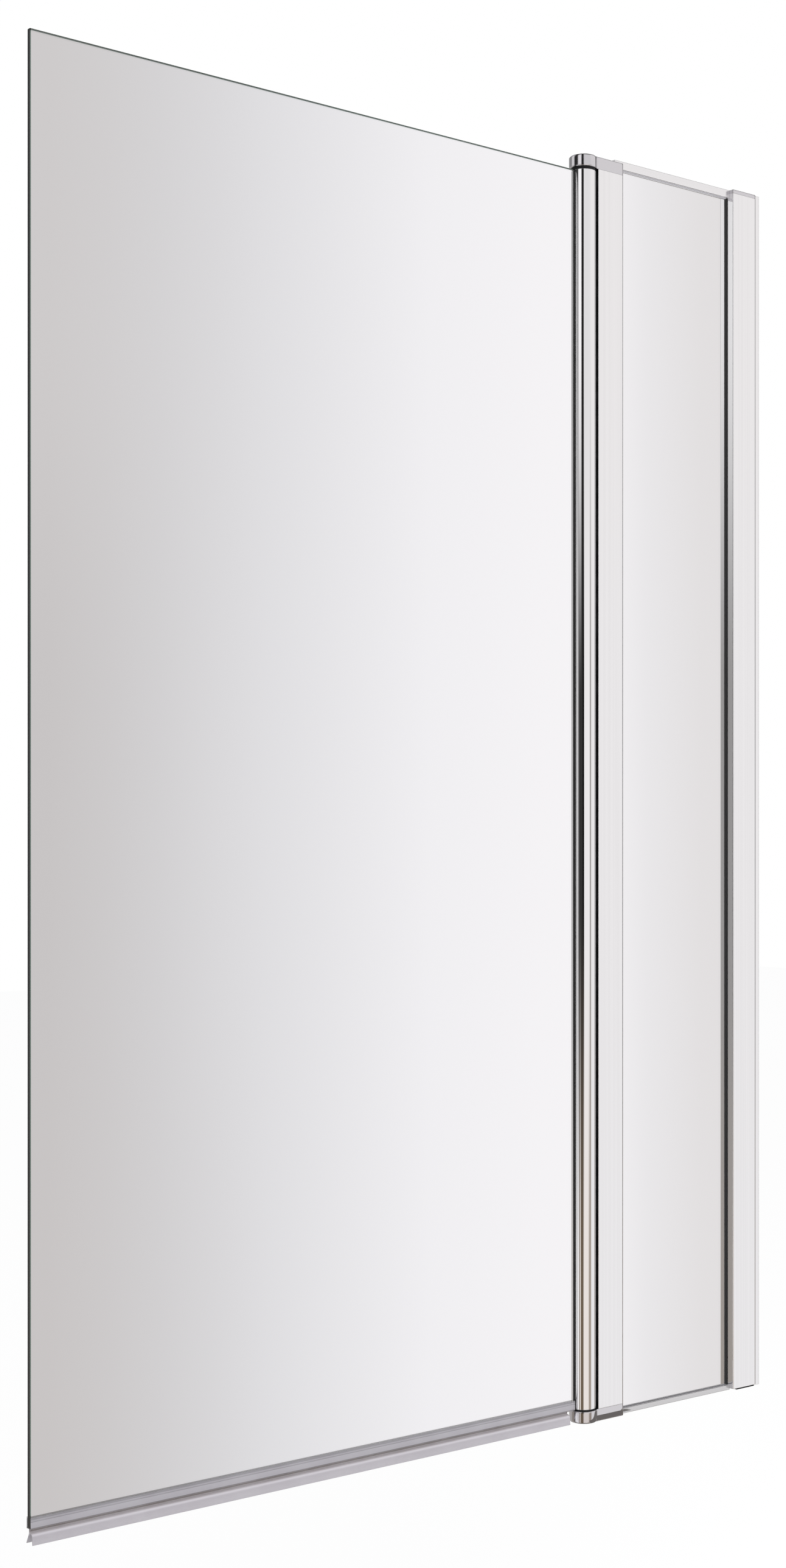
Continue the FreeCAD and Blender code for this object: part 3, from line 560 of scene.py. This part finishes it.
def turned_steel():
    """Stainless steel: satin, with tool marks and darker hollows."""
    material, tree, place = finish("turned_steel")
    marks = noise(tree, place, scale=5200.0)
    stains = noise(tree, place, scale=420.0, detail=4.0)
    hollow, bright = (0.56, 0.56, 0.57, 1), (0.68, 0.68, 0.68, 1)
    cover(tree, {
        "Base Color": blend(tree, ramped(tree, stains, 0.35, 0.7), hollow, bright),
        "Metallic": 1.0,
        "Roughness": ramped(tree, stains, *MOST_OF_NOISE, 0.22, 0.36),
        "Normal": bumped(tree, marks, 12 * MICRON, rounded(tree, 0.15 * MM)),
    })
    return material


steel = turned_steel()
wear(steel, "lock_screws", "lock_nuts", "pivot_pin_top", "pivot_pin_bottom")
print("steel dressed")

# %% [markdown]
# ### Rubber and plastics
#
# The upright glazing gaskets and the strip in the cradle are black rubber, matt and a
# little dusty where the die has dragged; those in the rails are soft grey plastic. The
# washers and the foot are moulded black plastic with a spark-eroded skin, the bushes are
# natural acetal, which lets light in under its surface, and the screw covers are moulded
# with a bright metallised coat.

# %% Rubber and soft strips
BLACK_STRIPS = (
    "cradle_seal", "gasket_wall_side", "gasket_hinge_side", "door_gasket_front",
    "door_gasket_back",
)


def rubber_strip(name, dark, light):
    """Extruded rubber: matt, with fine grain, and a bloom from dark to light, both a
    little bluish."""
    material, tree, place = finish(name)
    bloom = noise(tree, place, scale=90.0, detail=5.0)
    grain = noise(tree, place, scale=2400.0)
    clean, dusty = ((tone, tone, tone * 1.05, 1) for tone in (dark, light))
    cover(tree, {
        "Base Color": blend(tree, ramped(tree, bloom, 0.4, 0.75), clean, dusty),
        "Roughness": ramped(tree, bloom, *MOST_OF_NOISE, 0.50, 0.66),
        "Specular IOR Level": 0.1,
        "Normal": bumped(tree, grain, 6 * MICRON),
    })
    return material


def glazing_strip(name, glow):
    """Soft grey plastic round the edge of a pane. Light that the glass pipes to its
    edge lands here; the renderer doesn't follow that light, so a weak glow stands in."""
    material, tree, place = finish(name)
    clouds = noise(tree, place, scale=60.0, detail=4.0)
    grain = noise(tree, place, scale=1500.0, stretch=(0.01, 1.0, 1.0))
    cover(tree, {
        "Base Color": blend(tree, clouds, (0.40, 0.39, 0.41, 1), (0.52, 0.51, 0.53, 1)),
        "Roughness": ramped(tree, clouds, *MOST_OF_NOISE, 0.35, 0.5),
        "Emission Color": (0.80, 0.78, 0.82, 1),
        "Emission Strength": glow,
        "Normal": bumped(tree, grain, 5 * MICRON),
    })
    return material


top_strip_plastic = glazing_strip("top_strip_plastic", glow=0.40)
wear(rubber_strip("black_rubber", dark=0.006, light=0.018), *BLACK_STRIPS)
wear(top_strip_plastic, "gasket_top")
wear(glazing_strip("bottom_strip_plastic", glow=0.10), "gasket_bottom")
print(len(BLACK_STRIPS), "black strips and 2 grey ones dressed")

# %% Moulded plastics


def moulded(name, colour, roughness, metallic=0.0, under=0.0, gloss=0.5):
    """Moulded plastic: a spark-eroded skin, slow gloss changes, soft edges, and
    light under the surface where the plastic is not filled."""
    material, tree, place = finish(name)
    skin = noise(tree, place, scale=3000.0, detail=3.0)
    flow = noise(tree, place, scale=45.0, detail=3.0)
    cover(tree, {
        "Base Color": colour,
        "Metallic": metallic,
        "Specular IOR Level": gloss,
        "Roughness": ramped(tree, flow, *MOST_OF_NOISE, *roughness),
        "Normal": bumped(tree, skin, 14 * MICRON, rounded(tree, 0.3 * MM)),
        "Subsurface Weight": under,
        "Subsurface Radius": (2 * MM, 2 * MM, 1.5 * MM),
        "Subsurface Scale": 1.0,
    })
    return material


black_plastic = moulded("black_plastic", (0.008, 0.008, 0.009, 1), (0.45, 0.60), gloss=0.2)
acetal = moulded("acetal", (0.82, 0.80, 0.74, 1), (0.32, 0.42), under=0.3)
metallised = moulded(
    "metallised_plastic", (0.74, 0.73, 0.75, 1), (0.16, 0.24), metallic=0.9
)
wear(black_plastic, "wall_stile_foot", "thrust_washer_top", "thrust_washer_bottom")
wear(acetal, "pivot_bush_top", "pivot_bush_bottom")
wear(metallised, "screw_covers")
print("plastics dressed")

# %% [markdown]
# ### Clear seal
#
# The strip under the door is clear flexible plastic: a stiffer clip, greyer and a little
# violet, and softer fins, painted lighter for the light that comes through them. Between
# the two is a notch, brownish, and darker by painted shade. It clips tightly on the glass,
# so a true refracting plastic would need a third kind of surface where the two touch. A
# plastic that lets part of the light straight through, and scatters the rest, looks the
# same at this thickness and has no such trouble. Its tone follows the height above the
# bath rim, and paints the strip's shading: shade in the notch, at the clip's foot and in
# its fine groove, and a highlight on the fins' shoulder.

# %% Clear seal
# Each tone is (first height, last height, grey, warmth), in millimetres above the rim.
# The dark tones of the notch, the clip's foot and the fine groove are painted shade, the
# shoulder's light tone is a painted highlight, and the fins are painted lighter for the
# light that comes through them.
SEAL_TONES_AND_SHADING = (
    (0.0, 8.6, 0.68, -0.01),         # fins
    (9.8, 10.6, 0.75, -0.01),        # their shoulder
    (11.5, 12.5, 0.64, 0.02),
    (13.1, 14.1, 0.47, 0.08),        # notch
    (14.5, 15.0, 0.60, 0.04),
    (15.4, 15.8, 0.42, 0.03),        # foot of the clip
    (16.3, 21.4, 0.65, -0.02),       # lower band of the clip
    (21.7, 22.0, 0.55, -0.02),       # fine groove
    (22.3, 23.6, 0.61, -0.02),       # upper band
    (24.0, 27.0, 0.60, -0.02),       # its thin lip, which is clearer
)
TALLEST = 27.0
SEAL_VIOLET = 0.06
MILKY = (0.62, 0.61, 0.64, 1)
COVERING = 0.86                  # how much of the light the plain plastic stops
CLIP_LEVEL, LIP_LEVEL = 15.5 * MM, 23.8 * MM
# painted light: the skin on the glass and the lip are made clearer, so the background
# lights them where no light comes through the glass
SKIN_HALF = 3.4 * MM              # the skin on the glass lies nearer its middle than this
SKIN_CLEARER, LIP_CLEARER = 0.74, 0.26    # how much less of the light they stop


def clear_seal():
    """Translucent strip: tone by height, which paints its shade and highlights, part clear,
    with lines along X and clouds that make it more or less milky. The clip's skin against
    the glass and its thin lip are clearer, as painted light: the background lightens them
    where the renderer brings no light in through the glass."""
    material, tree, place = finish("clear_seal")
    parts = add(tree, "SeparateXYZ", {"Vector": place}).outputs
    height = parts["Z"]
    near_glass = maths(tree, "LESS_THAN", maths(tree, "ABSOLUTE", parts["Y"]), SKIN_HALF)
    on_clip = maths(tree, "GREATER_THAN", height, CLIP_LEVEL)
    on_lip = maths(tree, "GREATER_THAN", height, LIP_LEVEL)
    skin_on_glass = maths(tree, "MULTIPLY", near_glass, on_clip)
    clearer = maths(
        tree,
        "MAXIMUM",
        maths(tree, "MULTIPLY", skin_on_glass, SKIN_CLEARER),
        maths(tree, "MULTIPLY", on_lip, LIP_CLEARER),
    )
    share = maths(tree, "MULTIPLY", height, 1 / (TALLEST * MM))
    # the tone ramp paints shade in the notch, at the clip's foot and in the groove, and a
    # highlight on the shoulder
    tone = tone_ramp(tree, share, SEAL_TONES_AND_SHADING, TALLEST, SEAL_VIOLET)
    lines = noise(tree, place, scale=1500.0, stretch=(0.003, 1.0, 1.0))
    clouds = noise(tree, place, scale=30.0, detail=3.0)
    milk = ramped(tree, clouds, *MOST_OF_NOISE, 0.0, 0.12)
    cover(tree, {
        "Base Color": blend(tree, milk, tone, MILKY),
        "Roughness": ramped(tree, clouds, *MOST_OF_NOISE, 0.16, 0.26),
        "IOR": 1.53,
        "Alpha": maths(tree, "SUBTRACT", COVERING, clearer),
        "Normal": bumped(tree, lines, 10 * MICRON),
    })
    return material


seal_plastic = clear_seal()
print(len(SEAL_TONES_AND_SHADING), "tones up the strip")

# %% [markdown]
# ### Toughened glass
#
# Clear float glass is almost colourless through its face and dark green along its edge,
# because iron in it takes a little red from each millimetre. So the colour belongs
# inside the glass, in an absorbing volume, and not on its surface. Toughening leaves the
# faces very slightly wavy, and the edges and their arrises are ground, which is a fine
# roughness where the surface doesn't face the front or the back.

# %% Toughened glass
FACE_FLATNESS = 0.99             # a face looks along Y at least this much
GROUND_EDGE = (0.07, 0.11, 0.09, 1)
GROUND_ROUGHNESS = 0.07


def toughened_glass():
    """Clear glass: absorbing inside, roller wave on the faces, ground edges. The
    surface is an edge where the y part of its direction is small, and that direction is
    the pane's own, so that it stays right when the door turns."""
    material, tree, place = finish("toughened_glass")
    wave = noise(tree, place, scale=5.0, detail=1.0, stretch=(1.0, 0.0, 0.6))
    in_room = add(tree, "NewGeometry").outputs["True Normal"]
    on_pane = add(
        tree,
        "VectorTransform",
        {"Vector": in_room},
        vector_type="NORMAL",
        convert_from="WORLD",
        convert_to="OBJECT",
    ).outputs[0]
    along_y = add(tree, "SeparateXYZ", {"Vector": on_pane}).outputs["Y"]
    edge = maths(tree, "LESS_THAN", maths(tree, "ABSOLUTE", along_y), FACE_FLATNESS)
    inside = add(tree, "VolumeAbsorption", {"Color": (0.80, 0.90, 0.84, 1), "Density": 7.0})
    cover(tree, {
        "Base Color": blend(tree, edge, WHITE, GROUND_EDGE),
        "Roughness": maths(tree, "MULTIPLY", edge, GROUND_ROUGHNESS),
        "IOR": 1.52,
        "Transmission Weight": 1.0,
        "Normal": bumped(tree, wave, 40 * MICRON),
    }, inside)
    return material


wear(toughened_glass(), "fixed_glass", "door_glass")
print("glass dressed")

# %% [markdown]
# ## The strip under the door
#
# On the real door the clip and the fins leave the die together, a hard plastic joined to
# a soft one. Boxes and bevels would need many cuts for the shoulder, the notch and the
# fine groove. A profile carried along the door gives them all at once: a list of corners
# is rounded, repeated at every station along X, and the soft fins wander by a tenth of a
# millimetre, as they do once the strip has been coiled up in its packet.

# %% A rounded profile


def rounded_outline(corners, steps=5):
    """Each corner is (across, up, cut). The outline leaves one side at the distance cut
    before the corner P, at A, and joins the next side at the same distance after it, at
    B, along (1-s)^2 A + 2 s (1-s) P + s^2 B for s from 0 to 1."""
    table = np.array(corners, float)
    point, cut = table[:, :2], table[:, 2:]
    before, after = np.roll(point, 1, 0) - point, np.roll(point, -1, 0) - point
    first = point + before * cut / np.linalg.norm(before, axis=1, keepdims=True)
    last = point + after * cut / np.linalg.norm(after, axis=1, keepdims=True)
    s = np.linspace(0, 1, steps)[None, :, None]
    first, point, last = first[:, None], point[:, None], last[:, None]
    curve = (1 - s) ** 2 * first + 2 * s * (1 - s) * point + s**2 * last
    flat = curve.reshape(-1, 2)
    ahead = np.roll(flat, -1, 0)
    area = np.sum(flat[:, 0] * ahead[:, 1] - ahead[:, 0] * flat[:, 1])
    return flat if area > 0 else flat[::-1]


print("outlines can be rounded")

# %% Tubes with closed ends


def closed_grid(x, y, z, order=1):
    """Points and faces of a tube whose sections are the rows of x, y and z. Each section
    is a ring, so the quads close across the columns, and both ends get one face. The
    faces look outward; with an order of -1 they do so where the rings run backwards."""
    rows, columns = x.shape
    start = np.arange(rows - 1)[:, None] * columns
    column = np.arange(columns)[None, :]
    low, right = start + column, start + (column + 1) % columns
    quads = np.stack([low, right, right + columns, low + columns], axis=-1).reshape(-1, 4)
    first = np.arange(columns)
    last = first + (rows - 1) * columns
    faces = quads[:, ::order].tolist() + [first[::-order].tolist(), last[::order].tolist()]
    return np.stack([x, y, z], axis=-1).reshape(-1, 3), faces


def carried_along_x(outline, stations, wander):
    """Points (x, y + wander(x, z), z) for every station x and every outline point
    (y, z), in millimetres, with both ends closed."""
    x, y = np.meshgrid(stations, outline[:, 0], indexing="ij")
    z = np.broadcast_to(outline[:, 1], x.shape)
    return closed_grid(x, y + wander(x, z), z)


print("outlines can be carried along")

# %% One piece from its shells


def new_piece(name, shells, material, crease):
    """One mesh object from several closed shells (points, faces), in millimetres,
    shaded smooth where two faces meet at less than crease degrees."""
    points, faces, count = [], [], 0
    for shell_points, shell_faces in shells:
        points.append(shell_points)
        faces += [[corner + count for corner in face] for face in shell_faces]
        count += len(shell_points)
    mesh = bpy.data.meshes.new(name)
    mesh.from_pydata((np.concatenate(points) * MM).tolist(), [], faces)
    mesh.shade_smooth()
    mesh.set_sharp_from_angle(angle=math.radians(crease))
    mesh.materials.append(material)
    mesh.update()
    piece = bpy.data.objects.new(name, mesh)
    bpy.context.scene.collection.objects.link(piece)
    return piece


print("shells can be joined")

# %% The strip
# Corners are (across, up, cut), in millimetres from the pane's middle and the rim.
CLIP = [
    (-3.1, 25.6, 0.4), (-4.0, 25.6, 0.4), (-4.0, 22.15, 0.1), (-3.75, 21.85, 0.1),
    (-4.0, 21.55, 0.1), (-4.0, 14.8, 0.5), (4.0, 14.8, 0.5), (4.0, 21.55, 0.1),
    (3.75, 21.85, 0.1), (4.0, 22.15, 0.1), (4.0, 25.6, 0.4), (3.1, 25.6, 0.4),
    (3.1, 15.7, 0.1), (-3.1, 15.7, 0.1),
]
FINS = [
    (-2.2, 15.2, 0.1), (-2.2, 12.2, 0.15), (-6.8, 12.2, 4.3), (-6.8, 6.9, 0.9),
    (-7.4, 0.8, 0.3), (-6.7, 0.8, 0.3), (-5.8, 6.9, 0.9), (-5.8, 11.2, 3.2),
    (-2.4, 11.1, 0.1), (-1.28, 10.6, 0.3), (3.9, 0.8, 0.3), (4.7, 0.8, 0.3),
    (-0.4, 11.1, 0.9), (-0.4, 15.2, 0.1),
]
CLIP_FOOT, FIN_DROP = 14.8, 14.0
SWAY, WAVE, SLOW_WAVE = 0.1, 17.5, 61.0
FIN_STATIONS = 90
CLIP_REACH = 5.0                 # the soft clip is pushed up to the post
FIN_SETBACK = 5.3                # the fins stop short of it
STRIP_CREASE = 35


def straight(x, z):
    """No wander at all."""
    return 0 * x


def fin_wander(x, z):
    """Nothing at the clip, growing as the square of the depth below it to a tenth of a
    millimetre at the tips, in a wave 110 mm long with a slower one in it."""
    depth = np.clip((CLIP_FOOT - z) / FIN_DROP, 0, 1) ** 2
    return SWAY * depth * np.sin(x / WAVE) * np.cos(x / SLOW_WAVE)


low_corner, high_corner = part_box("bottom_seal")
strip_start, strip_end = low_corner[0] / MM, high_corner[0] / MM
clip_stations = np.linspace(strip_start, strip_end + CLIP_REACH, 3)
fin_stations = np.linspace(strip_start, strip_end - FIN_SETBACK, FIN_STATIONS)
strip_shells = [
    carried_along_x(rounded_outline(CLIP), clip_stations, straight),
    carried_along_x(rounded_outline(FINS), fin_stations, fin_wander),
]
door_strip = new_piece("door_strip", strip_shells, seal_plastic, STRIP_CREASE)
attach(door_strip, "door")
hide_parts("bottom_seal")
wear(seal_plastic, "bottom_seal")
print("door strip:", len(door_strip.data.polygons), "faces")

# %% [markdown]
# ## The strip in the top rail
#
# The soft strip that holds the glass in the top rail has rounded lips and stops just
# short of the rail's mouth. It is the same kind of profile, a channel that opens
# downwards.

# %% The top rail's strip
HALF_OUTSIDE, HALF_INSIDE = 4.7, 3.05
LIP_LIFT, ROOM = 0.2, 0.1        # short of the rail's mouth, and clear of rail and glass

low_corner, high_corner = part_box("gasket_top")
rail_start, rail_end = low_corner[0] / MM, high_corner[0] / MM
roof, lip = high_corner[2] / MM - ROOM, low_corner[2] / MM + LIP_LIFT
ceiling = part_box("fixed_glass")[1][2] / MM + ROOM
TOP_STRIP = [
    (-HALF_OUTSIDE, roof, 0.3), (-HALF_OUTSIDE, lip, 0.5), (-HALF_INSIDE, lip, 0.5),
    (-HALF_INSIDE, ceiling, 0.1), (HALF_INSIDE, ceiling, 0.1), (HALF_INSIDE, lip, 0.5),
    (HALF_OUTSIDE, lip, 0.5), (HALF_OUTSIDE, roof, 0.3),
]
rail_stations = np.linspace(rail_start, rail_end, 3)
top_shell = carried_along_x(rounded_outline(TOP_STRIP), rail_stations, straight)
top_strip = new_piece("top_rail_strip", [top_shell], top_strip_plastic, STRIP_CREASE)
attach(top_strip, "fixed_frame")
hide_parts("gasket_top")
print("top strip:", len(top_strip.data.polygons), "faces")

# %% [markdown]
# ## The screws of the caps
#
# Each cap is held by a pan-head screw with a cross recess. The recess and the thread
# could be cut by booleans, but both are easy to write as one surface over two
# parameters: the angle round the screw, and the way from the middle of the head over its
# rim and down the shank to the point.

# %% A crosshead screw
HEAD, SHANK, HEAD_HEIGHT, GRIP = 3.7, 1.7, 2.4, 14.0
CROWN_REACH, CROWN_FALL = 3.1, 0.95
PITCH, THREAD = 1.2, 0.35
THREAD_START = 0.5               # below the head
THREAD_LEAST = 1.5               # rings thinner than this have no thread
CROSS_DEPTH, CROSS_REGION = 1.3, 3.0
ARM_HALF, ARM_WALL = 0.50, 0.16
ARM_LENGTH, ARM_END = 2.1, 0.25
AXIS = 0.05                      # radius of the first and the last ring
CROWN_RINGS, SHANK_RINGS, AROUND = 34, 90, 72
UNDER_HEAD, TIP = -HEAD_HEIGHT, -HEAD_HEIGHT - GRIP


def screw_path():
    """Radius and height, from the middle of the crown to the point: the crown, where
    h = -0.95 (r/R)^4; the rim; the flat under the head; the shank; and the point."""
    crown_r = np.linspace(AXIS, CROWN_REACH, CROWN_RINGS)
    crown = np.stack([crown_r, -CROWN_FALL * (crown_r / HEAD) ** 4], -1)
    rim = [
        (3.45, -0.85), (HEAD, -1.3), (HEAD, -2.0), (3.55, UNDER_HEAD), (SHANK, UNDER_HEAD),
    ]
    shank_h = np.linspace(UNDER_HEAD - 0.1, TIP + 1.2, SHANK_RINGS)
    shank = np.stack([np.full(SHANK_RINGS, SHANK), shank_h], -1)
    return np.concatenate([crown, rim, shank, [(1.0, TIP + 0.4), (AXIS, TIP)]])


print("the path has", len(screw_path()), "points")

# %% The screw's surface


def screw_surface():
    """The path turned round the axis. On the shank r is less by 0.35 times a wave of
    h / pitch + turn. The crown is pressed down by a cross: by 1.3 mm where one of |x|
    and |y| is under 0.34 mm and the other under 1.85 mm, and by nothing from 0.50 mm
    or 2.1 mm on, with a straight slope between."""
    path = screw_path()
    turn = np.linspace(0, 2 * np.pi, AROUND, endpoint=False)
    r, angle = np.meshgrid(path[:, 0], turn, indexing="ij")
    h = np.repeat(path[:, 1:], AROUND, 1)
    on_shank = (h < UNDER_HEAD - THREAD_START) & (r > THREAD_LEAST)
    wave = 0.5 + 0.5 * np.cos(2 * np.pi * h / PITCH + angle)
    r = r - on_shank * THREAD * wave
    x, y = r * np.cos(angle), r * np.sin(angle)
    thin, far = np.minimum(abs(x), abs(y)), np.maximum(abs(x), abs(y))
    across = np.clip((ARM_HALF - thin) / ARM_WALL, 0, 1)
    along = np.clip((ARM_LENGTH - far) / ARM_END, 0, 1)
    on_crown = (h > -CROWN_FALL) & (r < CROSS_REGION)
    h = h - CROSS_DEPTH * across * along * on_crown
    return closed_grid(x, y, h, order=-1)


def placed(shell, centre_x, height, over):
    """The shell with its crown at the height; turned over, y and h change sign."""
    points, faces = shell
    side = -1.0 if over else 1.0
    return points * (1.0, side, side) + (centre_x, 0.0, height), faces


screw_shell = screw_surface()
print("one screw:", len(screw_shell[0]), "points")

# %% The two screws
SCREW_CREASE = 40

low_corner, high_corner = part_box("cap_screws")
screw_x = (low_corner[0] + high_corner[0]) / 2 / MM
screw_shells = [
    placed(screw_shell, screw_x, high_corner[2] / MM, over=False),
    placed(screw_shell, screw_x, low_corner[2] / MM, over=True),
]
screws = new_piece("crosshead_screws", screw_shells, steel, SCREW_CREASE)
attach(screws, "fixed_frame")
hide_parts("cap_screws")
wear(steel, "cap_screws")
print("screws:", len(screws.data.polygons), "faces")
